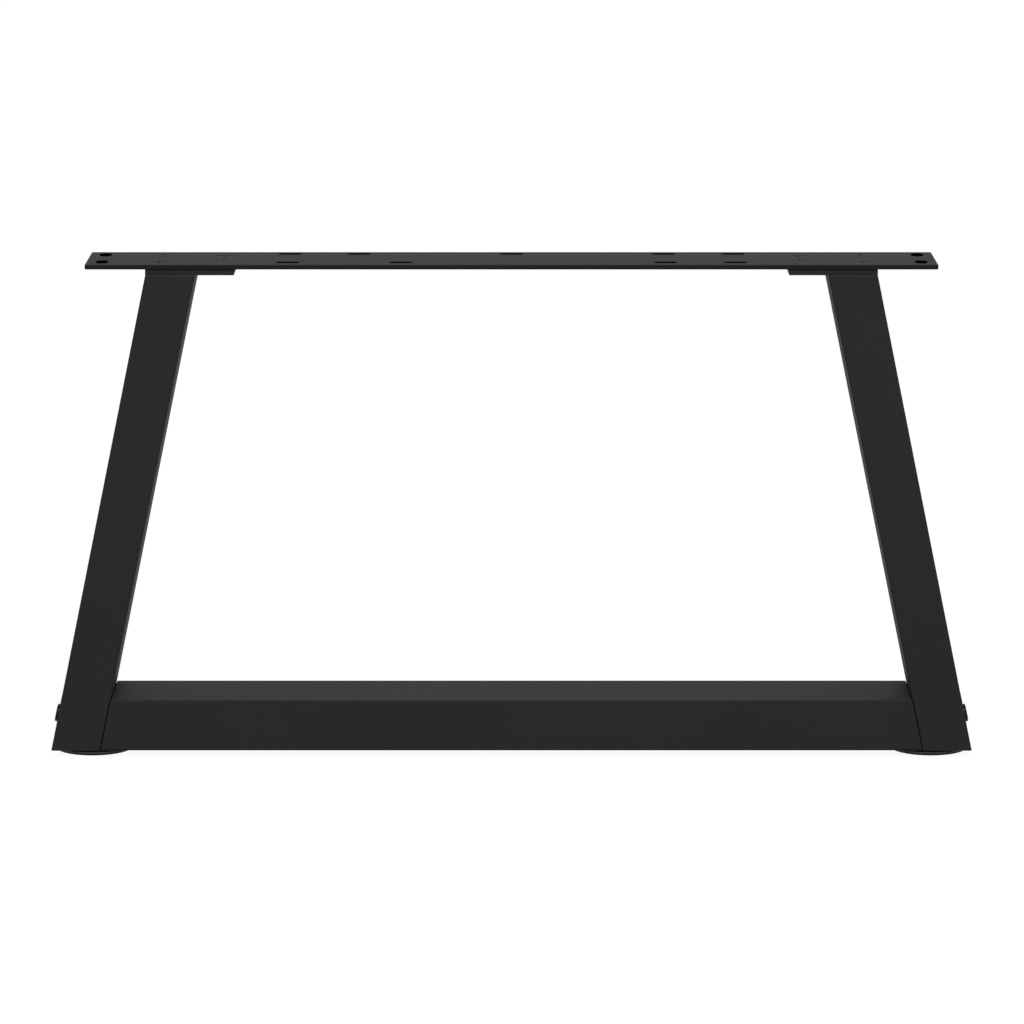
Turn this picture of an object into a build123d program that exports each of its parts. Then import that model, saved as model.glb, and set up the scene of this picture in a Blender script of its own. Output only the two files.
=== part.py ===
from build123d import *
import math
import os

# A knock-down steel table leg: a slotted top plate screwed to the flanges of two leaning
# uprights, a crossbar bolted between the uprights, and two round pads to stand on.
# X runs along the plate, Y from the front to the back and Z up. The origin is on the floor,
# in the middle of the leg. All sizes are in millimetres.

# Frame
FRAME_HEIGHT = 408.0  # tube ends to the plate's top
BASE_SPAN = 767.0  # over the uprights' outer bottom corners
DEPTH = 80.0  # front to back, the same for the plate and the tubes

# Top plate
PLATE_LENGTH = 700.0
PLATE_THICKNESS = 4.0
PLATE_CORNER = 2.0  # corner radius seen from above
PLATE_OVERHANG = 49.5  # past the uprights' outer top corners
RIM_CHAMFER = 0.5  # broken rims of the plate and the flanges

# Slots for the screws into a table top
SLOT_LENGTH = 20.0
SLOT_WIDTH = 10.0
SLOT_BACK_SETBACK = 12.0  # back edge of the plate to the middle of the back row
SLOT_FRONT_SETBACK = 15.0  # and of the front row to the front edge
SLOT_OUTER_GAP = 43.5  # flange to the middle of the outer slots
SLOT_MIDDLE_STEP = 57.5  # outer slots to the middle slots
SLOT_INNER_STEP = 35.5  # middle slots to the inner slot
END_SLOT_INSET = 13.0  # end of the plate to the middle of an end slot
END_SLOT_SETBACK = 17.5  # long edge of the plate to the middle of an end slot

# Flanges on the uprights
FLANGE_LENGTH = 73.0
FLANGE_THICKNESS = 5.0
FLANGE_SETBACK = 1.5  # behind the tube's front and back

# Countersunk screws that hold the plate on the flanges
SCREW_DIAMETER = 6.0
SCREW_HEAD = 12.0
SCREW_LENGTH = 10.0  # over the head
SCREW_SINK = 0.2  # top of the head below the plate's surface
SCREW_SOCKET = 4.0  # hexagon across flats
SCREW_SOCKET_DEPTH = 2.0
SCREW_OUTER_INSET = 11.0  # from the flange's outer end
SCREW_OUTER_SETBACK = 16.0  # from the plate's long edges
SCREW_INNER_INSET = 10.0  # from the flange's inner end
SCREW_INNER_SETBACK = 25.0

# Tubes
TUBE_FACE = 40.0  # uprights, seen from the front
BAR_HEIGHT = 43.0  # crossbar, seen from the front
TUBE_WALL = 1.5
TUBE_CORNER = 1.8  # outside radius of the tubes' corners
BAR_GAP = 0.25  # crossbar's end to the upright

# Plates welded into the tube ends
END_PLATE_THICKNESS = 5.0  # in the crossbar, tapped for the bolts
END_PLATE_RECESS = 0.5
BASE_PLATE_THICKNESS = 5.0  # in the uprights, tapped for the foot screws
WELD_GAP = 0.15

# Bolts through the uprights into the crossbar
BOLT_DIAMETER = 8.0
BOLT_LENGTH = 55.0  # under the head
BOLT_HEAD = 15.0
BOLT_HEAD_HEIGHT = 2.5
BOLT_HEAD_CHAMFER = 1.0
BOLT_SOCKET = 5.0  # hexagon across flats
BOLT_SOCKET_DEPTH = 2.2
BOLT_SETBACK = 13.5  # from the tube's front and back
BOLT_DROP = 0.2  # below the middle of the crossbar's end
BOLT_CLEARANCE = 0.5  # round the shank, in the upright's walls

# Feet
FOOT_DIAMETER = 64.5
FOOT_HEIGHT = 6.0
FOOT_RIM = 1.0  # chamfer of the rim, at the floor
FOOT_OFFSET = 7.5  # outward from the upright's inner bottom corner
FOOT_SCREW_DIAMETER = 5.0
FOOT_SCREW_HEAD = 10.0
FOOT_SCREW_LENGTH = 10.0
FOOT_SCREW_SINK = 1.5  # head above the floor
FOOT_SCREW_SOCKET = 3.0
FOOT_SCREW_SOCKET_DEPTH = 1.6

# Shared by all fasteners
SEAT_CLEARANCE = 0.2  # round a countersunk screw
THREAD_CLEARANCE = 0.1  # round a shank in its tapped hole

# Heights above the floor
TUBE_BOTTOM = FOOT_HEIGHT
PLATE_TOP = TUBE_BOTTOM + FRAME_HEIGHT
PLATE_BOTTOM = PLATE_TOP - PLATE_THICKNESS
TUBE_TOP = PLATE_BOTTOM - FLANGE_THICKNESS

# The right upright's lean, and its outer wall
TOP_X = PLATE_LENGTH / 2 - PLATE_OVERHANG
BOTTOM_X = BASE_SPAN / 2
LEAN = math.atan2(BOTTOM_X - TOP_X, TUBE_TOP - TUBE_BOTTOM)
UP_THE_TUBE = Vector(-math.sin(LEAN), 0, math.cos(LEAN))
OUTWARD = Vector(math.cos(LEAN), 0, math.sin(LEAN))
OUTER_CORNER = Vector(BOTTOM_X, 0, TUBE_BOTTOM)
FACE_LEVEL = TUBE_FACE / math.cos(LEAN)  # the tube's face, measured level
FLANGE_INNER_X = TOP_X - FLANGE_LENGTH
SLOT_OUTER_X = FLANGE_INNER_X - SLOT_OUTER_GAP
SLOT_MIDDLE_X = SLOT_OUTER_X - SLOT_MIDDLE_STEP
SLOT_INNER_X = SLOT_MIDDLE_X - SLOT_INNER_STEP
SCREW_SPOTS = [
    (x, side * (DEPTH / 2 - setback))
    for x, setback in (
        (TOP_X - SCREW_OUTER_INSET, SCREW_OUTER_SETBACK),
        (FLANGE_INNER_X + SCREW_INNER_INSET, SCREW_INNER_SETBACK),
    )
    for side in (-1, 1)
]
HANGING = (Align.CENTER, Align.CENTER, Align.MAX)
STANDING = (Align.CENTER, Align.CENTER, Align.MIN)


def inner_wall_x(height):
    """X of the right upright's inner wall at a height."""
    return BOTTOM_X - (height - TUBE_BOTTOM) * math.tan(LEAN) - FACE_LEVEL


def between_levels(solid, low, high):
    """What lies between two heights."""
    upper = split(solid, bisect_by=Plane.XY.offset(low), keep=Keep.TOP)
    return split(upper, bisect_by=Plane.XY.offset(high), keep=Keep.BOTTOM)


def hollow(width, depth, gap):
    """Section of a tube's inside, drawn in by a gap."""
    inset = 2 * (TUBE_WALL + gap)
    return Rectangle(width - inset, depth - inset)


def tube_section(width, depth):
    """Section of a rectangular tube with rounded corners."""
    return RectangleRounded(width, depth, TUBE_CORNER) - hollow(width, depth, 0)


def cut_plate(outline, thickness):
    """Plate on z = 0 with chamfered rims."""
    plate = extrude(outline, thickness)
    levels = plate.faces().sort_by(Axis.Z)
    return chamfer(levels[0].edges() + levels[-1].edges(), RIM_CHAMFER)


def hex_socket(across_flats, depth):
    """Cutter for a hexagon socket, sunk from z = 0."""
    return extrude(RegularPolygon(across_flats / 2, 6, major_radius=False), -depth)


def countersunk_turning(diameter, head, length, above):
    """Turned form of a countersunk screw, its head's top at z = 0 and its cone run on above."""
    outline = Polyline(
        (0, above),
        (head / 2 + above, above),
        (diameter / 2, (diameter - head) / 2),
        (diameter / 2, -length),
        (0, -length),
        close=True,
    )
    return revolve(Plane.XZ * make_face(outline), Axis.Z)


def countersunk_screw(diameter, head, length, socket, socket_depth):
    """Countersunk screw, its head's top at z = 0 and its shank downwards."""
    return countersunk_turning(diameter, head, length, 0) - hex_socket(socket, socket_depth)


def countersunk_seat(diameter, head, length, shank_gap):
    """Cutter for a countersunk screw's seat and hole, open above and below."""
    grown_head = head + 2 * SEAT_CLEARANCE
    return countersunk_turning(diameter + 2 * shank_gap, grown_head, 2 * length, length)


def top_plate():
    """Slotted plate, countersunk for the flange screws."""
    rows = {"front": SLOT_FRONT_SETBACK - DEPTH / 2, "back": DEPTH / 2 - SLOT_BACK_SETBACK}
    lengthwise = (
        (-SLOT_OUTER_X, ("front", "back")),
        (-SLOT_MIDDLE_X, ("back",)),
        (-SLOT_INNER_X, ("front",)),
        (0, ("back",)),
        (SLOT_MIDDLE_X, ("front", "back")),
        (SLOT_OUTER_X, ("front", "back")),
    )
    end_x = PLATE_LENGTH / 2 - END_SLOT_INSET
    end_y = DEPTH / 2 - END_SLOT_SETBACK
    slot = extrude(SlotOverall(SLOT_LENGTH, SLOT_WIDTH), PLATE_THICKNESS)
    seat = countersunk_seat(SCREW_DIAMETER, SCREW_HEAD, SCREW_LENGTH, SEAT_CLEARANCE)
    plate = cut_plate(RectangleRounded(PLATE_LENGTH, DEPTH, PLATE_CORNER), PLATE_THICKNESS)
    for x, row_names in lengthwise:
        for row in row_names:
            plate -= Pos(x, rows[row], 0) * slot
    for x in (-end_x, end_x):
        for y in (-end_y, end_y):
            plate -= Pos(x, y, 0) * Rot(0, 0, 90) * slot
    for side in (-1, 1):
        for x, y in SCREW_SPOTS:
            plate -= Pos(side * x, y, PLATE_THICKNESS - SCREW_SINK) * seat
    return Pos(0, 0, PLATE_BOTTOM) * plate


def flange():
    """Plate on the right upright's top, tapped for the flange screws."""
    outline = Rectangle(FLANGE_LENGTH, DEPTH - 2 * FLANGE_SETBACK)
    plate = Pos(TOP_X - FLANGE_LENGTH / 2, 0, TUBE_TOP) * cut_plate(outline, FLANGE_THICKNESS)
    seat = countersunk_seat(SCREW_DIAMETER, SCREW_HEAD, SCREW_LENGTH, THREAD_CLEARANCE)
    for x, y in SCREW_SPOTS:
        plate -= Pos(x, y, PLATE_TOP - SCREW_SINK) * seat
    return plate


def flange_screws():
    """The right flange's four countersunk screws."""
    screw = countersunk_screw(
        SCREW_DIAMETER, SCREW_HEAD, SCREW_LENGTH, SCREW_SOCKET, SCREW_SOCKET_DEPTH
    )
    return [Pos(x, y, PLATE_TOP - SCREW_SINK) * screw for x, y in SCREW_SPOTS]


def upright_prism(section):
    """A section run along the right upright's axis, past both of its ends."""
    middle = OUTER_CORNER - OUTWARD * (TUBE_FACE / 2)
    across = Plane(middle, x_dir=OUTWARD, z_dir=UP_THE_TUBE)
    return extrude(across * section, FRAME_HEIGHT / math.cos(LEAN) + DEPTH, both=True)


def bar_end(inset):
    """Plane of the crossbar's right end, drawn in by an inset and facing outwards."""
    height = TUBE_BOTTOM + BAR_HEIGHT / 2
    wall = Vector(inner_wall_x(height), 0, height)
    return Plane(wall - OUTWARD * (BAR_GAP + inset), x_dir=(0, 1, 0), z_dir=OUTWARD)


def bolt_seats():
    """Planes on the right upright's outer wall where the bolt heads sit, facing outwards."""
    centre = bar_end(END_PLATE_RECESS + END_PLATE_THICKNESS / 2).origin - UP_THE_TUBE * BOLT_DROP
    seat = centre + OUTWARD * (OUTER_CORNER - centre).dot(OUTWARD)
    shift = Vector(0, DEPTH / 2 - BOLT_SETBACK, 0)
    return [Plane(seat + shift * side, x_dir=(0, 1, 0), z_dir=OUTWARD) for side in (-1, 1)]


def upright():
    """Right upright: leaning tube, cut level at both ends and drilled for the bolts."""
    tube = upright_prism(tube_section(TUBE_FACE, DEPTH))
    tube = between_levels(tube, TUBE_BOTTOM, TUBE_TOP)
    drill = Cylinder(BOLT_DIAMETER / 2 + BOLT_CLEARANCE, 2 * BOLT_LENGTH)
    for seat in bolt_seats():
        tube -= seat * drill
    return tube


def base_plate():
    """Plate in the right upright's foot, tapped for the foot screw."""
    plate = upright_prism(hollow(TUBE_FACE, DEPTH, WELD_GAP))
    plate = between_levels(plate, TUBE_BOTTOM, TUBE_BOTTOM + BASE_PLATE_THICKNESS)
    drill = Cylinder(FOOT_SCREW_DIAMETER / 2 + THREAD_CLEARANCE, 2 * PLATE_TOP)
    return plate - Pos(foot_x(), 0, 0) * drill


def bar_prism(section):
    """A section run along X at the crossbar's height, past both of its ends."""
    across = Plane((0, 0, TUBE_BOTTOM + BAR_HEIGHT / 2), x_dir=(0, 1, 0), z_dir=(1, 0, 0))
    return extrude(across * section, BOTTOM_X, both=True)


def crossbar():
    """Tube between the uprights, its ends cut to their lean."""
    bar = bar_prism(tube_section(DEPTH, BAR_HEIGHT))
    half = split(bar, bisect_by=Plane.YZ, keep=Keep.TOP)
    half = split(half, bisect_by=bar_end(0), keep=Keep.BOTTOM)
    return half + mirror(half, about=Plane.YZ)


def end_plate():
    """Plate in the crossbar's right end, tapped for the bolts."""
    plate = bar_prism(hollow(DEPTH, BAR_HEIGHT, WELD_GAP))
    plate = split(plate, bisect_by=bar_end(END_PLATE_RECESS), keep=Keep.BOTTOM)
    inside = bar_end(END_PLATE_RECESS + END_PLATE_THICKNESS)
    plate = split(plate, bisect_by=inside, keep=Keep.TOP)
    drill = Cylinder(BOLT_DIAMETER / 2 + THREAD_CLEARANCE, 4 * BOLT_LENGTH)
    for seat in bolt_seats():
        plate -= seat * drill
    return plate


def crossbar_bolts():
    """The right upright's two low-headed bolts."""
    head = Cylinder(BOLT_HEAD / 2, BOLT_HEAD_HEIGHT, align=STANDING)
    head = chamfer(head.edges().sort_by(Axis.Z)[-1], BOLT_HEAD_CHAMFER)
    shank = Cylinder(BOLT_DIAMETER / 2, BOLT_LENGTH, align=HANGING)
    socket = Pos(0, 0, BOLT_HEAD_HEIGHT) * hex_socket(BOLT_SOCKET, BOLT_SOCKET_DEPTH)
    bolt = head + shank - socket
    return [seat * bolt for seat in bolt_seats()]


def foot_x():
    """X of the right foot's middle."""
    return inner_wall_x(TUBE_BOTTOM) + FOOT_OFFSET


def foot():
    """Right foot: round pad with a screw seat sunk in from below."""
    pad = Cylinder(FOOT_DIAMETER / 2, FOOT_HEIGHT, align=STANDING)
    pad = chamfer(pad.edges().sort_by(Axis.Z)[0], FOOT_RIM)
    seat = countersunk_seat(
        FOOT_SCREW_DIAMETER, FOOT_SCREW_HEAD, FOOT_SCREW_LENGTH, SEAT_CLEARANCE
    )
    pad -= Pos(0, 0, FOOT_SCREW_SINK) * Rot(180, 0, 0) * seat
    return Pos(foot_x(), 0, 0) * pad


def foot_screw():
    """Screw from below through the right foot into the base plate."""
    screw = countersunk_screw(
        FOOT_SCREW_DIAMETER,
        FOOT_SCREW_HEAD,
        FOOT_SCREW_LENGTH,
        FOOT_SCREW_SOCKET,
        FOOT_SCREW_SOCKET_DEPTH,
    )
    return Pos(foot_x(), 0, FOOT_SCREW_SINK) * Rot(180, 0, 0) * screw


def both_sides(solids):
    """The right side's solids and their mirrored copies, as one group."""
    return Compound(solids + [mirror(solid, about=Plane.YZ) for solid in solids])


def leg():
    """Every piece of the leg by its name, the left side mirrored from the right."""
    right_side = {
        "flange": flange(),
        "upright": upright(),
        "base_plate": base_plate(),
        "end_plate": end_plate(),
        "foot": foot(),
    }
    pieces = {
        "top_plate": top_plate(),
        "crossbar": crossbar(),
        "flange_screws": both_sides(flange_screws()),
        "crossbar_bolts": both_sides(crossbar_bolts()),
        "foot_screws": both_sides([foot_screw()]),
    }
    for name, solid in right_side.items():
        pieces["right_" + name] = solid
        pieces["left_" + name] = mirror(solid, about=Plane.YZ)
    return pieces


os.makedirs("parts", exist_ok=True)
for piece_name, piece in leg().items():
    export_step(piece, os.path.join("parts", piece_name + ".step"))
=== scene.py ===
import logging
import math
from abc import ABC, abstractmethod
from collections.abc import Callable, Iterable, Sequence
from dataclasses import dataclass
from enum import Enum

import bmesh
import bpy
from bmesh.types import BMEdge, BMesh, BMFace, BMLayerItem, BMVert
from mathutils import Matrix, Vector


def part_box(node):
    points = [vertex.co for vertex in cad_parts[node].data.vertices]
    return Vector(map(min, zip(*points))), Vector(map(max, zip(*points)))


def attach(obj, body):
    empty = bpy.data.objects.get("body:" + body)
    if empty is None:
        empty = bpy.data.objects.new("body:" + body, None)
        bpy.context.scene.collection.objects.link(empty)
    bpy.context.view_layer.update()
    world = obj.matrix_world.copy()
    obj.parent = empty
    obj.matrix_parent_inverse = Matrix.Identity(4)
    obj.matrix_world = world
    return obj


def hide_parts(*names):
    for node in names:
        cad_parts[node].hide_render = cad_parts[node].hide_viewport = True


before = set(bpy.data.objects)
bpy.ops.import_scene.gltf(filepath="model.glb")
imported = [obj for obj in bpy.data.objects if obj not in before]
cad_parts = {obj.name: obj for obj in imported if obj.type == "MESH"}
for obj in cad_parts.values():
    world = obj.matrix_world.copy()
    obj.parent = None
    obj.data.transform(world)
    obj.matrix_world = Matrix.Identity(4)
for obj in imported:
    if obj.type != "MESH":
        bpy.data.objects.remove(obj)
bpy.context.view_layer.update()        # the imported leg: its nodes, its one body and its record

# A table leg of black powder-coated steel that comes apart: a slotted plate on two leaning tubes, a
# bolted crossbar and two round pads. X runs along the plate, Y to the back and Z up, in metres.

log = logging.getLogger("table_leg")

Colour = tuple[float, float, float, float]
Point = tuple[float, float, float]
Outline = Sequence[tuple[float, float]]

BODY = "root"  # the leg is one body: nothing on it moves
SAME_SPOT = 1e-6  # vertices this close are one
TINY = 5e-6  # faces narrower than this are dissolved
PLACE_DIGITS = 4  # places are put in order by these decimals, which leaves out rounding
FLAT = math.radians(0.5)  # faces that meet at less than this are one face
CREASE = math.radians(35)  # edges sharper than this are creases
PAINTED_LIGHT = "painted_light"  # mesh layer of painted light: how much lighter (painted highlight) or, below 0, darker (painted shade) than the rest the coat is drawn
UP = Vector((0, 0, 1))
ALONG = Vector((1, 0, 0))


class Side(Enum):
    """The two ends of the leg, seen from the front."""

    LEFT = "left"
    RIGHT = "right"

    def node(self, piece: str) -> str:
        """Name of this side's solid or piece."""
        return f"{self.value}_{piece}"


class Slot(Enum):
    """The record's material slots."""

    POWDER_COAT = "powder_coat"
    BLACK_FASTENER = "black_fastener"
    SCREW_BLACK = "screw_black"
    PAD_PLASTIC = "pad_plastic"


def grey(level: float) -> Colour:
    """A neutral colour."""
    return (level, level, level, 1)


class NodeSheet:
    """A node tree with short calls to add and join its nodes."""

    def __init__(self, tree: bpy.types.NodeTree) -> None:
        """Empties the tree."""
        self.tree = tree
        self.tree.nodes.clear()

    def add(self, kind: str, inputs: dict[str, object] | None = None, **settings: object) -> bpy.types.Node:
        """Adds a node.

        Args:
            kind: Type of the node.
            inputs: Values for its sockets, by the sockets' names.
            settings: Values for its own properties.

        Returns:
            The new node.
        """
        node = self.tree.nodes.new(kind)
        for name, value in settings.items():
            setattr(node, name, value)
        for name, value in (inputs or {}).items():
            node.inputs[name].default_value = value
        return node

    def join(self, source: bpy.types.NodeSocket, target: bpy.types.NodeSocket) -> None:
        """Leads an output to an input."""
        self.tree.links.new(source, target)

    def seen_rays(self) -> bpy.types.NodeSocket:
        """Adds what tells the rays that show a surface from those that only light others.

        Returns:
            Socket that is 1 for the camera, for reflections and for what shows through glass.
        """
        path = self.add("ShaderNodeLightPath")
        mirrored = self.add("ShaderNodeMath", operation="MAXIMUM")
        self.join(path.outputs["Is Glossy Ray"], mirrored.inputs[0])
        self.join(path.outputs["Is Transmission Ray"], mirrored.inputs[1])
        seen = self.add("ShaderNodeMath", operation="MAXIMUM")
        self.join(path.outputs["Is Camera Ray"], seen.inputs[0])
        self.join(mirrored.outputs[0], seen.inputs[1])
        return seen.outputs[0]

    def noise(self, where: bpy.types.NodeSocket, grain: float, detail: float) -> bpy.types.NodeSocket:
        """Adds a noise whose patches have a real size.

        Args:
            where: Coordinates in metres.
            grain: Size of a patch in metres.
            detail: Number of finer layers on top.

        Returns:
            The noise, from 0 to 1.
        """
        cloud = self.add("ShaderNodeTexNoise", {"Scale": 1 / grain, "Detail": detail})
        self.join(where, cloud.inputs["Vector"])
        return cloud.outputs["Fac"]


@dataclass(frozen=True)
class BlackFinish:
    """A black surface with tone, gloss and relief from noise on the piece's own coordinates."""

    slot: Slot
    dark: Colour
    light: Colour
    roughness: tuple[float, float]  # in the glossiest and in the dullest patch
    specular: float
    patch: float  # size of the patches of tone and gloss
    peel: float  # size of the soft waves left by the coat's flow
    peel_height: float
    grain: float  # size of the fine grain
    grain_height: float
    gap_reach: float  # how near a gap's other side must be for painted shade on the surface
    gap_samples: int = 8
    gap_closed: float = 0.3  # a spot this open or less gets the darkest painted shade
    gap_opened: float = 0.9  # and one this open or more has the plain tone
    gap_share: float = 0.1  # share of the tone that the painted shade in a gap leaves
    least_share: float = 0.05  # share that is left where the mesh's painted shade darkens the surface too
    patch_layers: int = 3  # finer layers of noise in the patches
    relief_layers: int = 1  # and in the waves and the grain

    def shade(self, sheet: NodeSheet) -> bpy.types.NodeSocket:
        """Adds painted shade in narrow gaps and hollows, and the painted highlight and painted shade that
        the mesh's layer gives ground edges and cut walls.

        Args:
            sheet: The material's nodes.

        Returns:
            The tone as a share of the plain coat's.
        """
        # painted shade: an occlusion node darkens colour and specular in narrow gaps and hollows
        reach = {"Distance": self.gap_reach}
        gaps = sheet.add("ShaderNodeAmbientOcclusion", reach, samples=self.gap_samples)
        span = {"From Min": self.gap_closed, "From Max": self.gap_opened, "To Min": self.gap_share}
        open_share = sheet.add("ShaderNodeMapRange", span)
        sheet.join(gaps.outputs["AO"], open_share.inputs["Value"])
        # painted highlight and painted shade that the mesh's layer holds
        tone = sheet.add("ShaderNodeAttribute", attribute_name=PAINTED_LIGHT)
        share = sheet.add("ShaderNodeMath", operation="ADD")
        sheet.join(open_share.outputs["Result"], share.inputs[0])
        sheet.join(tone.outputs["Fac"], share.inputs[1])
        least = sheet.add("ShaderNodeMath", operation="MAXIMUM")
        sheet.join(share.outputs[0], least.inputs[0])
        least.inputs[1].default_value = self.least_share
        return least.outputs[0]

    def relief(self, sheet: NodeSheet, where: bpy.types.NodeSocket) -> bpy.types.NodeSocket:
        """Adds the coat's soft waves, with the fine grain on top.

        Args:
            sheet: The material's nodes.
            where: Coordinates in metres.

        Returns:
            The surface's normal.
        """
        peel = sheet.add("ShaderNodeBump", {"Strength": 1.0, "Distance": self.peel_height})
        sheet.join(sheet.noise(where, self.peel, self.relief_layers), peel.inputs["Height"])
        grain = sheet.add("ShaderNodeBump", {"Strength": 1.0, "Distance": self.grain_height})
        sheet.join(sheet.noise(where, self.grain, self.relief_layers), grain.inputs["Height"])
        sheet.join(peel.outputs["Normal"], grain.inputs["Normal"])
        return grain.outputs["Normal"]

    def material(self) -> bpy.types.Material:
        """Makes the material.

        Returns:
            The new material, named for its slot.
        """
        material = bpy.data.materials.new(self.slot.value)
        material.use_nodes = True
        sheet = NodeSheet(material.node_tree)
        where = sheet.add("ShaderNodeTexCoord").outputs["Object"]
        tone = sheet.noise(where, self.patch, self.patch_layers)
        colour = sheet.add("ShaderNodeMix", data_type="RGBA")
        colour.inputs["A"].default_value = self.dark
        colour.inputs["B"].default_value = self.light
        sheet.join(tone, colour.inputs["Factor"])
        shade = self.shade(sheet)
        # the painted shade and highlight scale the coat's colour and its specular level alike
        shaded = sheet.add("ShaderNodeVectorMath", operation="SCALE")
        sheet.join(colour.outputs["Result"], shaded.inputs[0])
        sheet.join(shade, shaded.inputs["Scale"])
        shine = sheet.add("ShaderNodeMath", operation="MULTIPLY")
        shine.inputs[1].default_value = self.specular
        sheet.join(shade, shine.inputs[0])
        gloss = sheet.add("ShaderNodeMapRange", {"To Min": self.roughness[0], "To Max": self.roughness[1]})
        sheet.join(tone, gloss.inputs["Value"])
        surface = sheet.add("ShaderNodeBsdfPrincipled")
        sheet.join(shaded.outputs["Vector"], surface.inputs["Base Color"])
        sheet.join(shine.outputs[0], surface.inputs["Specular IOR Level"])
        sheet.join(gloss.outputs["Result"], surface.inputs["Roughness"])
        sheet.join(self.relief(sheet, where), surface.inputs["Normal"])
        out = sheet.add("ShaderNodeOutputMaterial")
        sheet.join(surface.outputs["BSDF"], out.inputs["Surface"])
        return material


POWDER_COAT = BlackFinish(
    slot=Slot.POWDER_COAT,
    dark=(0.0165, 0.0165, 0.0168, 1),
    light=(0.0205, 0.0205, 0.0208, 1),
    roughness=(0.60, 0.68),
    specular=0.043,
    patch=0.090,
    peel=0.0035,
    peel_height=0.00002,
    grain=0.0006,
    grain_height=0.00001,
    gap_reach=0.0012,
)
BLACK_FASTENER = BlackFinish(
    slot=Slot.BLACK_FASTENER,
    dark=(0.002, 0.002, 0.0022, 1),
    light=(0.004, 0.004, 0.0042, 1),
    roughness=(0.18, 0.26),
    specular=0.12,
    patch=0.004,
    peel=0.0012,
    peel_height=0.000006,
    grain=0.0002,
    grain_height=0.000001,
    gap_reach=0.002,
)
SCREW_BLACK = BlackFinish(
    slot=Slot.SCREW_BLACK,
    dark=(0.0135, 0.0135, 0.0138, 1),
    light=(0.0185, 0.0185, 0.0188, 1),
    roughness=(0.52, 0.60),
    specular=0.045,
    patch=0.003,
    peel=0.001,
    peel_height=0.000004,
    grain=0.0002,
    grain_height=0.000002,
    gap_reach=0.002,
)
PAD_PLASTIC = BlackFinish(
    slot=Slot.PAD_PLASTIC,
    dark=(0.004, 0.004, 0.004, 1),
    light=(0.006, 0.006, 0.006, 1),
    roughness=(0.18, 0.24),
    specular=0.28,
    patch=0.012,
    peel=0.002,
    peel_height=0.000008,
    grain=0.0004,
    grain_height=0.000003,
    gap_reach=0.003,
)


@dataclass
class Dresser:
    """Turns finished meshes into pieces of the leg, each with its finish."""

    materials: dict[Slot, bpy.types.Material]

    def piece(self, name: str, shape: BMesh, slot: Slot, nodes: Iterable[str]) -> bpy.types.Object:
        """Makes a piece that stands for solids of the leg.

        Args:
            name: Name of the piece.
            shape: Its finished mesh, in place. It is freed.
            slot: Its finish.
            nodes: The solids that it stands for.

        Returns:
            The new object, at the origin.
        """
        for face in shape.faces:
            face.smooth = True
        for edge in shape.edges:
            edge.smooth = edge.is_manifold and edge.calc_face_angle() < CREASE
        mesh = bpy.data.meshes.new(name)
        shape.to_mesh(mesh)
        shape.free()
        mesh.materials.append(self.materials[slot])
        piece = bpy.data.objects.new(name, mesh)
        bpy.context.scene.collection.objects.link(piece)
        shading = piece.modifiers.new("even_shading", "WEIGHTED_NORMAL")
        shading.keep_sharp = True
        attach(piece, BODY)
        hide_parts(*nodes)
        return piece


def merged_copy(node: str) -> BMesh:
    """Copies a solid's mesh with its loose triangles joined.

    Args:
        node: Name of the solid's node.

    Returns:
        The copy.
    """
    shape = bmesh.new()
    shape.from_mesh(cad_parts[node].data)
    bmesh.ops.remove_doubles(shape, verts=shape.verts, dist=SAME_SPOT)
    return shape


def separate_solids(node: str) -> list[list[Vector]]:
    """Finds the solids that a node groups.

    Args:
        node: Name of the node.

    Returns:
        The corners of each solid.
    """
    shape = merged_copy(node)
    loose = set(shape.verts)
    solids = []
    while loose:
        front = [loose.pop()]
        corners = []
        while front:
            corner = front.pop()
            corners.append(corner.co.copy())
            for edge in corner.link_edges:
                other = edge.other_vert(corner)
                if other in loose:
                    loose.remove(other)
                    front.append(other)
        solids.append(corners)
    shape.free()
    return solids


def middle(corners: Sequence[Vector]) -> Vector:
    """Mean of some points, the same in whatever order they come."""
    return Vector([math.fsum(axis) / len(corners) for axis in zip(*corners)])


def turned(shape: BMesh, outline: Outline, steps: int) -> None:
    """Spins an outline once round the Z axis.

    Args:
        shape: Mesh that takes the turned surface.
        outline: Points as radius and height.
        steps: Number of sides.
    """
    corners = [shape.verts.new((radius, 0, height)) for radius, height in outline]
    edges = [shape.edges.new(pair) for pair in zip(corners, corners[1:])]
    bmesh.ops.spin(
        shape, geom=corners + edges, cent=(0, 0, 0), axis=UP, angle=math.tau, steps=steps, use_merge=True
    )
    bmesh.ops.remove_doubles(shape, verts=shape.verts, dist=SAME_SPOT)


def ring(shape: BMesh, radius: float, height: float) -> list[BMEdge]:
    """Finds a turned surface's ring.

    Args:
        shape: Mesh to look in.
        radius: Radius of the ring.
        height: Height of the ring.

    Returns:
        The ring's edges.
    """

    def on_ring(corner: BMVert) -> bool:
        """Whether a corner lies on the ring."""
        spread = math.hypot(corner.co.x, corner.co.y)
        return abs(spread - radius) < SAME_SPOT and abs(corner.co.z - height) < SAME_SPOT

    return [edge for edge in shape.edges if all(on_ring(corner) for corner in edge.verts)]


def open_edges(shape: BMesh, height: float) -> list[BMEdge]:
    """Finds a level rim where a surface ends.

    Args:
        shape: Mesh to look in.
        height: Height of the rim.

    Returns:
        The rim's edges.
    """
    return [
        edge
        for edge in shape.edges
        if edge.is_boundary and all(abs(corner.co.z - height) < SAME_SPOT for corner in edge.verts)
    ]


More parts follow.
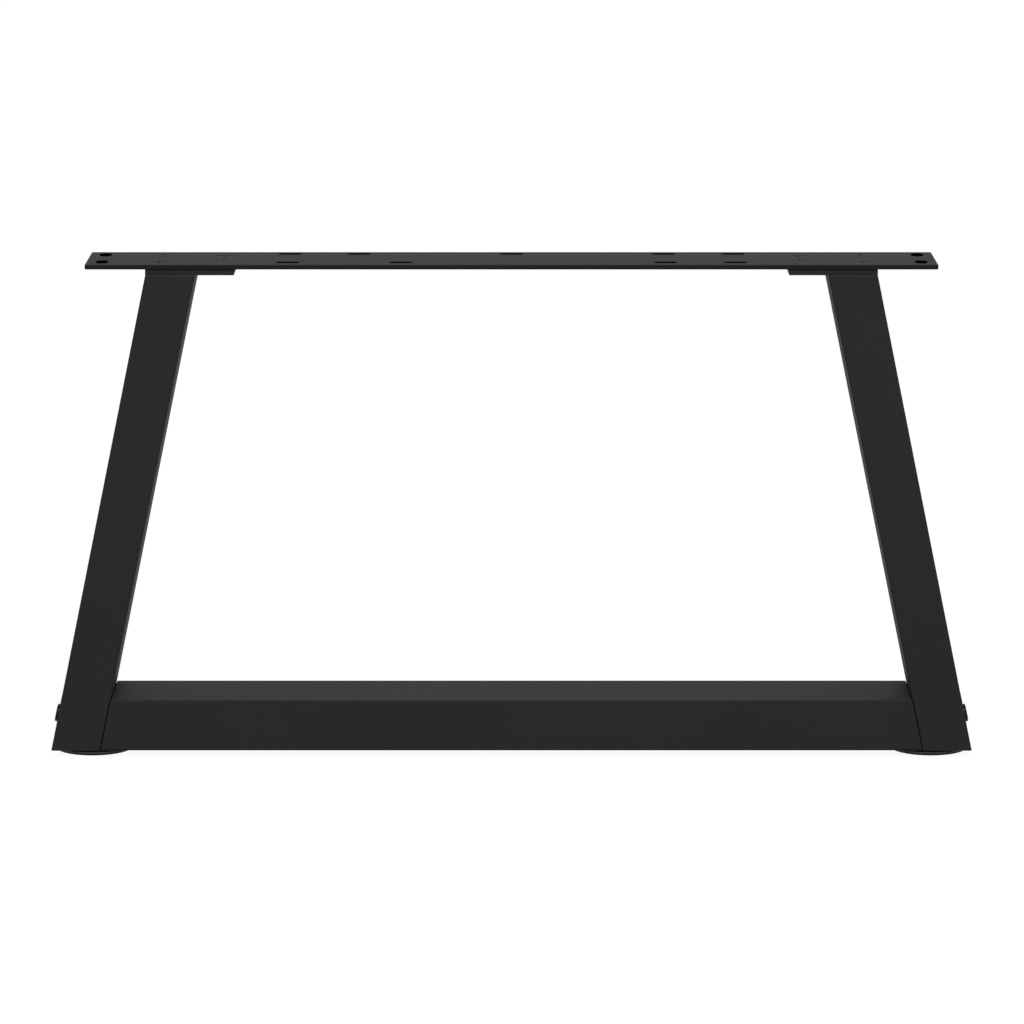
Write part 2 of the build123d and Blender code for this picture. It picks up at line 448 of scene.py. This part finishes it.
def round_edges(shape: BMesh, edges: list[BMEdge], radius: float, steps: int) -> list[BMFace]:
    """Rounds edges.

    Args:
        shape: Mesh that the edges are in.
        edges: The edges.
        radius: How far the rounding reaches on each side.
        steps: Number of strips across the rounding.

    Returns:
        The rounding's faces.
    """
    rounding = bmesh.ops.bevel(
        shape,
        geom=edges,
        offset=radius,
        offset_type="OFFSET",
        segments=steps,
        profile=0.5,
        affect="EDGES",
        clamp_overlap=True,
        material=-1,
    )
    return rounding["faces"]


def stamped(mesh: bpy.types.Mesh, places: Iterable[Matrix]) -> BMesh:
    """Sets copies of one mesh in their places.

    Args:
        mesh: The mesh. It is removed.
        places: Where each copy goes.

    Returns:
        All copies in one mesh.
    """
    shape = bmesh.new()
    for place in places:
        count = len(shape.verts)
        shape.from_mesh(mesh)
        shape.verts.ensure_lookup_table()
        bmesh.ops.transform(shape, matrix=place, verts=shape.verts[count:])
    bpy.data.meshes.remove(mesh)
    return shape


@dataclass
class CoatedSteel:
    """Steel tubes and plates, their cut edges softened by the powder coat."""

    dresser: Dresser
    edge_round: float = 0.0003
    edge_steps: int = 2
    ground_round: float = 0.0010  # where a tube's end is ground
    ground_steps: int = 3
    painted_edge_highlight: float = 8.0  # painted highlight on the ground end's rounding where it faces up; one that faces sideways has none
    end_spread: float = math.radians(30)  # faces turned less than this from a tube's end belong to it
    rim_painted_shade: float = -0.38  # painted shade on a plate's cut rim
    hole_painted_shade: float = -0.93  # painted shade, nearly black, on the walls of its slots and holes
    rim_width: float = 0.004  # walls this near to a plate's outline are its rim
    wall_slope: float = 0.5  # walls are the faces whose normals rise or fall less than this

    def build(
        self, name: str, node: str, ground_ends: Sequence[Vector] = (), painted_wall_shade: bool = False
    ) -> bpy.types.Object:
        """Makes one coated piece from its solid.

        Args:
            name: Name of the piece.
            node: The solid's node.
            ground_ends: Which way those ends of a tube face whose outlines are ground rounder; where one
                faces up, its rounding gets a painted highlight.
            painted_wall_shade: Whether its upright walls get painted shade: a little on the outer rim,
                nearly black in the slots and holes.

        Returns:
            The new piece.
        """
        shape = merged_copy(node)
        # layer for the painted highlight on ground top ends and the painted shade on a plate's walls
        tone = shape.faces.layers.float.new(PAINTED_LIGHT)
        bmesh.ops.dissolve_limit(
            shape, angle_limit=FLAT, verts=shape.verts, edges=shape.edges, use_dissolve_boundaries=False
        )
        ground = {edge for facing in ground_ends for edge in self.end_outline(shape, facing)}
        # found before the ground edges are rounded, because the strips of that rounding are no creases
        creases = [
            edge
            for edge in shape.edges
            if edge.is_manifold and edge.calc_face_angle() > CREASE and edge not in ground
        ]
        # a ground end gets a painted highlight on its rounding, scaled by how far it faces up
        for facing in ground_ends:
            outline = self.end_outline(shape, facing)
            for face in round_edges(shape, outline, self.ground_round, self.ground_steps):
                face[tone] = self.painted_edge_highlight * facing.z
        creases = [edge for edge in creases if edge.is_valid]
        round_edges(shape, creases, self.edge_round, self.edge_steps)
        # painted shade on the walls of a cut-out plate
        if painted_wall_shade:
            self.shade_cut_walls(shape, tone)
        return self.dresser.piece(name, shape, Slot.POWDER_COAT, [node])

    def end_outline(self, shape: BMesh, facing: Vector) -> list[BMEdge]:
        """Finds the outer edges round a tube's end.

        Args:
            shape: Mesh of the tube.
            facing: Which way the end faces, roughly.

        Returns:
            The edges between the end and the tube's outside.
        """
        end = [face for face in shape.faces if face.normal.dot(facing) > math.cos(self.end_spread)]
        centre = middle([face.calc_center_bounds() for face in end])
        outline = []
        for edge in shape.edges:
            outward = middle([corner.co for corner in edge.verts]) - centre
            walls = [face for face in edge.link_faces if face not in end]
            at_end = len(walls) < len(edge.link_faces)
            if at_end and any(face.normal.dot(outward) > 0 for face in walls):
                outline.append(edge)
        return outline

    def shade_cut_walls(self, shape: BMesh, tone: BMLayerItem) -> None:
        """Paints shade on the upright walls of a level plate: a little on its outer rim, nearly black in
        its slots and holes.

        Args:
            shape: Mesh of the plate, its middle over the origin.
            tone: Layer that takes the walls' painted shade.
        """
        half_length = max(corner.co.x for corner in shape.verts)
        half_depth = max(corner.co.y for corner in shape.verts)
        for face in shape.faces:
            if abs(face.normal.z) < self.wall_slope:
                spot = face.calc_center_bounds()
                inside = min(half_length - abs(spot.x), half_depth - abs(spot.y))
                face[tone] = self.rim_painted_shade if inside < self.rim_width else self.hole_painted_shade


@dataclass
class Fastener(ABC):
    """A screw or bolt with a hexagon socket and a cut thread, its head upwards."""

    head_radius: float
    head_top: float  # height of the head's top
    shank_radius: float
    length: float  # from z = 0 down to the tip
    plain: float  # from z = 0 down to the thread
    socket: float  # hexagon, across its flats
    socket_depth: float
    pitch: float
    socket_mouth: float = 0.0003  # chamfer round the hexagon
    thread_depth: float = 0.6  # this and the next two are shares of the pitch
    root_flat: float = 0.25
    crest_flat: float = 0.125
    spare_turns: int = 2  # of the thread, cut off at its ends
    tip: float = 0.0006  # chamfer of the tip
    steps: int = 48  # sides all round

    @abstractmethod
    def head_outline(self) -> Outline:
        """Outline from the socket's mouth over the head and down to the thread."""

    @abstractmethod
    def round_head(self, shape: BMesh) -> None:
        """Rounds the head's rim."""

    def socket_radius(self) -> float:
        """Radius of the hexagon at its corners."""
        return self.socket / math.sqrt(3)

    def mouth_radius(self) -> float:
        """Radius of the round mouth of the socket."""
        return self.socket_radius() + self.socket_mouth

    def sink_socket(self, shape: BMesh) -> None:
        """Sinks the hexagon into the head's open top.

        Args:
            shape: Mesh of the head.
        """
        sides = 6
        mouth = open_edges(shape, self.head_top)
        bmesh.ops.create_circle(
            shape,
            segments=sides,
            radius=self.socket_radius(),
            matrix=Matrix.Translation(UP * (self.head_top - self.socket_mouth)),
        )
        edges = [edge for edge in shape.edges if edge.is_wire]
        bmesh.ops.subdivide_edges(shape, edges=edges, cuts=self.steps // sides - 1)
        rim = [edge for edge in shape.edges if edge.is_wire]
        bmesh.ops.bridge_loops(shape, edges=mouth + rim)
        walls = bmesh.ops.extrude_edge_only(shape, edges=rim)["geom"]
        floor = [part for part in walls if isinstance(part, BMEdge)]
        corners = [part for part in walls if isinstance(part, BMVert)]
        bmesh.ops.translate(shape, verts=corners, vec=UP * (self.socket_mouth - self.socket_depth))
        bottom = [edge for edge in floor if edge.is_boundary]
        bmesh.ops.edgeloop_fill(shape, edges=bottom)

    def thread(self) -> bpy.types.Mesh:
        """Makes the thread, turned past both of its ends and then cut off there.

        Returns:
            Mesh of the threaded end, open at its top.
        """
        shape = bmesh.new()
        low = -self.length - self.pitch
        root = self.shank_radius - self.thread_depth * self.pitch
        turns = math.ceil((self.length - self.plain) / self.pitch) + self.spare_turns
        flank = (1 - self.root_flat - self.crest_flat) / 2
        outline = (
            (root, 0.0),
            (root, self.root_flat),
            (self.shank_radius, self.root_flat + flank),
            (self.shank_radius, 1 - flank),
            (root, 1.0),
        )
        corners = [shape.verts.new((radius, 0, low + share * self.pitch)) for radius, share in outline]
        edges = [shape.edges.new(pair) for pair in zip(corners, corners[1:])]
        bmesh.ops.spin(
            shape,
            geom=corners + edges,
            cent=(0, 0, 0),
            axis=UP,
            dvec=UP * (self.pitch / self.steps),
            angle=math.tau * turns,
            steps=self.steps * turns,
        )
        bmesh.ops.remove_doubles(shape, verts=shape.verts, dist=SAME_SPOT)
        for height, below in ((-self.plain, False), (-self.length, True)):
            bmesh.ops.bisect_plane(
                shape,
                geom=list(shape.verts) + list(shape.edges) + list(shape.faces),
                plane_co=UP * height,
                plane_no=UP,
                clear_outer=not below,
                clear_inner=below,
            )
        bmesh.ops.edgeloop_fill(shape, edges=open_edges(shape, -self.length))
        for corner in shape.verts:
            allowed = self.shank_radius - self.tip + corner.co.z + self.length
            spread = math.hypot(corner.co.x, corner.co.y)
            if spread > allowed:
                corner.co.xy *= allowed / spread
        mesh = bpy.data.meshes.new("thread")
        shape.to_mesh(mesh)
        shape.free()
        return mesh

    def mesh(self) -> bpy.types.Mesh:
        """Makes the fastener.

        Returns:
            Its closed mesh.
        """
        shape = bmesh.new()
        outline = self.head_outline()
        turned(shape, outline, self.steps)
        self.round_head(shape)
        self.sink_socket(shape)
        thread = self.thread()
        shank_end = open_edges(shape, outline[-1][1])
        shape.from_mesh(thread)
        bpy.data.meshes.remove(thread)
        thread_start = [edge for edge in open_edges(shape, -self.plain) if edge not in shank_end]
        bmesh.ops.bridge_loops(shape, edges=shank_end + thread_start)
        bmesh.ops.dissolve_degenerate(shape, dist=TINY, edges=shape.edges)
        bmesh.ops.recalc_face_normals(shape, faces=shape.faces)
        mesh = bpy.data.meshes.new("fastener")
        shape.to_mesh(mesh)
        shape.free()
        return mesh


@dataclass
class CountersunkScrew(Fastener):
    """Flat-headed screw with the top of its head at z = 0 and a cone of 90 degrees under it."""

    rim_round: float = 0.00015
    rim_steps: int = 2
    runout: float = 0.0003  # height over which the shank runs out into the thread

    def head_outline(self) -> Outline:
        """Draws the head and the plain shank.

        Returns:
            Outline from the socket's mouth over the cone and down to the thread.
        """
        cone_height = self.head_radius - self.shank_radius
        return (
            (self.mouth_radius(), self.head_top),
            (self.head_radius, self.head_top),
            (self.shank_radius, self.head_top - cone_height),
            (self.shank_radius, self.runout - self.plain),
        )

    def round_head(self, shape: BMesh) -> None:
        """Rounds the head's sharp rim."""
        round_edges(shape, ring(shape, self.head_radius, self.head_top), self.rim_round, self.rim_steps)


@dataclass
class LowHeadBolt(Fastener):
    """Bolt with a low round head that sits on the outside of a tube, at z = 0."""

    rim_round: float = 0.0010
    rim_steps: int = 4
    runout: float = 0.0005  # height over which the shank runs out into the thread

    def head_outline(self) -> Outline:
        """Draws the head and the plain shank.

        Returns:
            Outline from the socket's mouth over the head and down to the thread.
        """
        return (
            (self.mouth_radius(), self.head_top),
            (self.head_radius, self.head_top),
            (self.head_radius, 0.0),
            (self.shank_radius, 0.0),
            (self.shank_radius, self.runout - self.plain),
        )

    def round_head(self, shape: BMesh) -> None:
        """Rounds the head's outer rim."""
        round_edges(shape, ring(shape, self.head_radius, self.head_top), self.rim_round, self.rim_steps)


@dataclass
class FastenerSet:
    """All fasteners of one kind, set where the leg's own solids are."""

    name: str
    node: str
    fastener: Fastener
    facing: Callable[[Vector], Vector]  # which way a head faces, from its place
    slot: Slot
    turn: float = 2.4  # each socket is turned this much further than the last, in radians

    def place(self, number: int, corners: Sequence[Vector]) -> Matrix:
        """Finds one fastener's place.

        Args:
            number: Which fastener it is.
            corners: Corners of its solid.

        Returns:
            Where its head and shank go.
        """
        centre = middle(corners)
        outward = self.facing(centre)
        top = max((corner - centre).dot(outward) for corner in corners)
        seat = centre + outward * (top - self.fastener.head_top)
        tilt = UP.rotation_difference(outward).to_matrix()
        turn = Matrix.Rotation(number * self.turn, 3, "Z")
        return Matrix.Translation(seat) @ (tilt @ turn).to_4x4()

    def build(self, dresser: Dresser) -> bpy.types.Object:
        """Makes the whole set as one piece.

        Args:
            dresser: What makes the piece.

        Returns:
            The new piece.
        """
        solids = separate_solids(self.node)
        solids.sort(key=lambda corners: middle(corners).to_tuple(PLACE_DIGITS))
        places = [self.place(number, corners) for number, corners in enumerate(solids)]
        shape = stamped(self.fastener.mesh(), places)
        return dresser.piece(self.name, shape, self.slot, [self.node])


@dataclass
class FootPad:
    """Round pad under one end of the leg, with a screw seat of 90 degrees sunk in from below."""

    side: Side
    rim_round: float = 0.0010  # at the floor
    rim_steps: int = 5
    shoulder_round: float = 0.0044  # under the tubes
    shoulder_steps: int = 8
    seat_mouth: float = 0.0067  # radius of the screw seat at the floor
    bore: float = 0.0027  # radius of the screw's hole
    steps: int = 128  # sides all round

    def build(self, dresser: Dresser) -> bpy.types.Object:
        """Makes the pad.

        Args:
            dresser: What makes the piece.

        Returns:
            The new piece.
        """
        node = self.side.node("foot")
        low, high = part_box(node)
        radius = (high.x - low.x) / 2
        height = high.z - low.z
        seat_depth = self.seat_mouth - self.bore
        outline = (
            (self.bore, height),
            (radius, height),
            (radius, 0.0),
            (self.seat_mouth, 0.0),
            (self.bore, seat_depth),
            (self.bore, height),
        )
        shape = bmesh.new()
        turned(shape, outline, self.steps)
        round_edges(shape, ring(shape, radius, 0.0), self.rim_round, self.rim_steps)
        round_edges(shape, ring(shape, radius, height), self.shoulder_round, self.shoulder_steps)
        bmesh.ops.recalc_face_normals(shape, faces=shape.faces)
        centre = Vector(((low.x + high.x) / 2, (low.y + high.y) / 2, low.z))
        bmesh.ops.translate(shape, verts=shape.verts, vec=centre)
        return dresser.piece(self.side.node("pad"), shape, Slot.PAD_PLASTIC, [node])


def lean_of(node: str) -> float:
    """Measures how far an upright leans.

    Args:
        node: The upright's node.

    Returns:
        The angle from upright, in radians.
    """
    low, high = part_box(node)
    corners = [vertex.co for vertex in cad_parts[node].data.vertices]
    foot = max(abs(corner.x) for corner in corners if corner.z - low.z < SAME_SPOT)
    head = max(abs(corner.x) for corner in corners if high.z - corner.z < SAME_SPOT)
    return math.atan2(foot - head, high.z - low.z)


def out_of_the_wall(place: Vector) -> Vector:
    """Which way the outer wall of the upright nearest to a place faces."""
    lean = lean_of(Side.RIGHT.node("upright"))
    return Vector((math.copysign(math.cos(lean), place.x), 0, math.sin(lean)))


@dataclass
class Leg:
    """The whole leg, piece by piece."""

    dresser: Dresser

    def build(self) -> list[bpy.types.Object]:
        """Makes every piece.

        Returns:
            The pieces.
        """
        steel = CoatedSteel(self.dresser)
        pieces = [
            steel.build("slotted_plate", "top_plate", painted_wall_shade=True),
            steel.build("crossbar_tube", "crossbar", ground_ends=(-ALONG, ALONG)),
        ]
        for side in Side:
            pieces.append(steel.build(side.node("tube"), side.node("upright"), ground_ends=(UP,)))
            for plate in ("flange", "base_plate", "end_plate"):
                pieces.append(steel.build(f"{side.node(plate)}_coated", side.node(plate)))
            pieces.append(FootPad(side).build(self.dresser))
        for fasteners in (self.plate_screws(), self.crossbar_bolts(), self.foot_screws()):
            pieces.append(fasteners.build(self.dresser))
        return pieces

    def plate_screws(self) -> FastenerSet:
        """Describes the screws through the plate.

        Returns:
            The countersunk screws from above into the flanges.
        """
        screw = CountersunkScrew(
            head_radius=0.006,
            head_top=0.0,
            shank_radius=0.003,
            length=0.010,
            plain=0.0038,
            socket=0.004,
            socket_depth=0.002,
            pitch=0.001,
        )
        return FastenerSet("plate_screws_black", "flange_screws", screw, lambda place: UP, Slot.SCREW_BLACK)

    def crossbar_bolts(self) -> FastenerSet:
        """Describes the bolts at the crossbar's ends.

        Returns:
            The low-headed bolts from outside through the uprights.
        """
        bolt = LowHeadBolt(
            head_radius=0.0075,
            head_top=0.0025,
            shank_radius=0.004,
            length=0.055,
            plain=0.030,
            socket=0.005,
            socket_depth=0.0022,
            pitch=0.00125,
        )
        return FastenerSet(
            "crossbar_bolts_black", "crossbar_bolts", bolt, out_of_the_wall, Slot.BLACK_FASTENER
        )

    def foot_screws(self) -> FastenerSet:
        """Describes the screws that hold the pads.

        Returns:
            The countersunk screws from below into the uprights' base plates.
        """
        screw = CountersunkScrew(
            head_radius=0.005,
            head_top=0.0,
            shank_radius=0.0025,
            length=0.010,
            plain=0.0033,
            socket=0.003,
            socket_depth=0.0016,
            pitch=0.0008,
        )
        return FastenerSet("foot_screws_black", "foot_screws", screw, lambda place: -UP, Slot.SCREW_BLACK)


@dataclass(frozen=True)
class Softbox:
    """A soft studio lamp that the camera doesn't see."""

    name: str
    place: Point
    aim: Point
    width: float
    depth: float
    power: float  # watts

    def hang(self) -> bpy.types.Object:
        """Hangs the lamp.

        Returns:
            The lamp.
        """
        light = bpy.data.lights.new(self.name, "AREA")
        light.shape = "RECTANGLE"
        light.size = self.width
        light.size_y = self.depth
        light.energy = self.power
        lamp = bpy.data.objects.new(self.name, light)
        bpy.context.scene.collection.objects.link(lamp)
        lamp.location = self.place
        lamp.rotation_euler = (Vector(self.aim) - Vector(self.place)).to_track_quat("-Z", "Y").to_euler()
        lamp.visible_camera = False
        return lamp


@dataclass
class Studio:
    """Pale floor, soft lamps and the camera."""

    floor_half: float = 20.0  # from the middle to an edge
    floor_glow: float = 0.94  # the floor's own white, as the camera and reflections see it
    floor_catch: float = 0.08  # share of the floor that takes the shadow
    floor_bounce: float = 0.2  # light that the floor throws back
    surround: float = 0.9  # light from all round
    camera_target: Point = (0.000422, -0.040, 0.208140)  # in the middle of the picture
    camera_distance: float = 4.420851  # from the target
    camera_height: float = math.radians(10.2754)  # angle above the horizon
    camera_reach: float = 80.0  # nothing further off is drawn
    focal_pixels: float = 5350.68
    image_pixels: int = 1024  # width of the picture that focal_pixels is given for
    sensor: float = 36.0  # millimetres
    lamps: tuple[Softbox, ...] = (
        Softbox("overhead", (0.0, -2.4, 3.2), (0.0, 0.0, 0.2), width=1.3, depth=0.9, power=38.0),
        Softbox("key", (0.0, -1.5, 1.45), (0.0, 0.0, 0.35), width=0.45, depth=0.25, power=9.0),
        Softbox("low_front", (0.0, -1.3, 0.25), (0.0, 0.0, 0.15), width=4.0, depth=0.1, power=6.0),
    )

    def build(self) -> None:
        """Sets up everything round the leg."""
        self.lay_floor()
        self.light_surround()
        for lamp in self.lamps:
            lamp.hang()
            log.info("lamp %s", lamp.name)
        self.set_camera()
        bpy.context.scene.view_settings.view_transform = "Standard"

    def lay_floor(self) -> None:
        """Lays the pale floor."""
        shape = bmesh.new()
        bmesh.ops.create_grid(shape, x_segments=1, y_segments=1, size=self.floor_half)
        mesh = bpy.data.meshes.new("floor")
        shape.to_mesh(mesh)
        shape.free()
        mesh.materials.append(self.floor_material())
        floor = bpy.data.objects.new("floor", mesh)
        bpy.context.scene.collection.objects.link(floor)

    def floor_material(self) -> bpy.types.Material:
        """Makes the floor's finish.

        Returns:
            White where it is seen, apart from the leg's soft shadow, and a pale bounce elsewhere.
        """
        material = bpy.data.materials.new("pale_floor")
        material.use_nodes = True
        sheet = NodeSheet(material.node_tree)
        seen = sheet.seen_rays()
        bounce = sheet.add("ShaderNodeBsdfDiffuse", {"Color": grey(self.floor_bounce)})
        glow = sheet.add("ShaderNodeEmission", {"Strength": self.floor_glow})
        catch = sheet.add("ShaderNodeBsdfDiffuse", {"Color": grey(self.floor_catch)})
        shown = sheet.add("ShaderNodeAddShader")
        sheet.join(glow.outputs[0], shown.inputs[0])
        sheet.join(catch.outputs[0], shown.inputs[1])
        mixed = sheet.add("ShaderNodeMixShader")
        sheet.join(seen, mixed.inputs["Fac"])
        sheet.join(bounce.outputs[0], mixed.inputs[1])
        sheet.join(shown.outputs[0], mixed.inputs[2])
        out = sheet.add("ShaderNodeOutputMaterial")
        sheet.join(mixed.outputs[0], out.inputs["Surface"])
        return material

    def light_surround(self) -> None:
        """Makes the world white where it is seen, and a soft light elsewhere."""
        world = bpy.data.worlds.new("surround")
        world.use_nodes = True
        sheet = NodeSheet(world.node_tree)
        level = sheet.add("ShaderNodeMapRange", {"To Min": self.surround, "To Max": 1.0})
        sheet.join(sheet.seen_rays(), level.inputs["Value"])
        light = sheet.add("ShaderNodeBackground", {"Color": grey(1)})
        sheet.join(level.outputs["Result"], light.inputs["Strength"])
        out = sheet.add("ShaderNodeOutputWorld")
        sheet.join(light.outputs[0], out.inputs["Surface"])
        bpy.context.scene.world = world

    def set_camera(self) -> None:
        """Sets the camera in front of the leg, a little above it."""
        data = bpy.data.cameras.new("camera")
        data.sensor_width = self.sensor
        data.lens = self.sensor * self.focal_pixels / self.image_pixels
        data.clip_end = self.camera_reach
        camera = bpy.data.objects.new("camera", data)
        bpy.context.scene.collection.objects.link(camera)
        back = Vector((0, -math.cos(self.camera_height), math.sin(self.camera_height)))
        camera.location = Vector(self.camera_target) + back * self.camera_distance
        camera.rotation_euler = (math.pi / 2 - self.camera_height, 0, 0)
        bpy.context.scene.camera = camera


def main() -> None:
    """Dresses the leg and sets up the studio."""
    logging.basicConfig(level=logging.INFO, format="%(message)s")
    finishes = (POWDER_COAT, BLACK_FASTENER, SCREW_BLACK, PAD_PLASTIC)
    dresser = Dresser({finish.slot: finish.material() for finish in finishes})
    for piece in Leg(dresser).build():
        log.info("%s: %d faces", piece.name, len(piece.data.polygons))
    Studio().build()


if __name__ == "__main__":
    main()
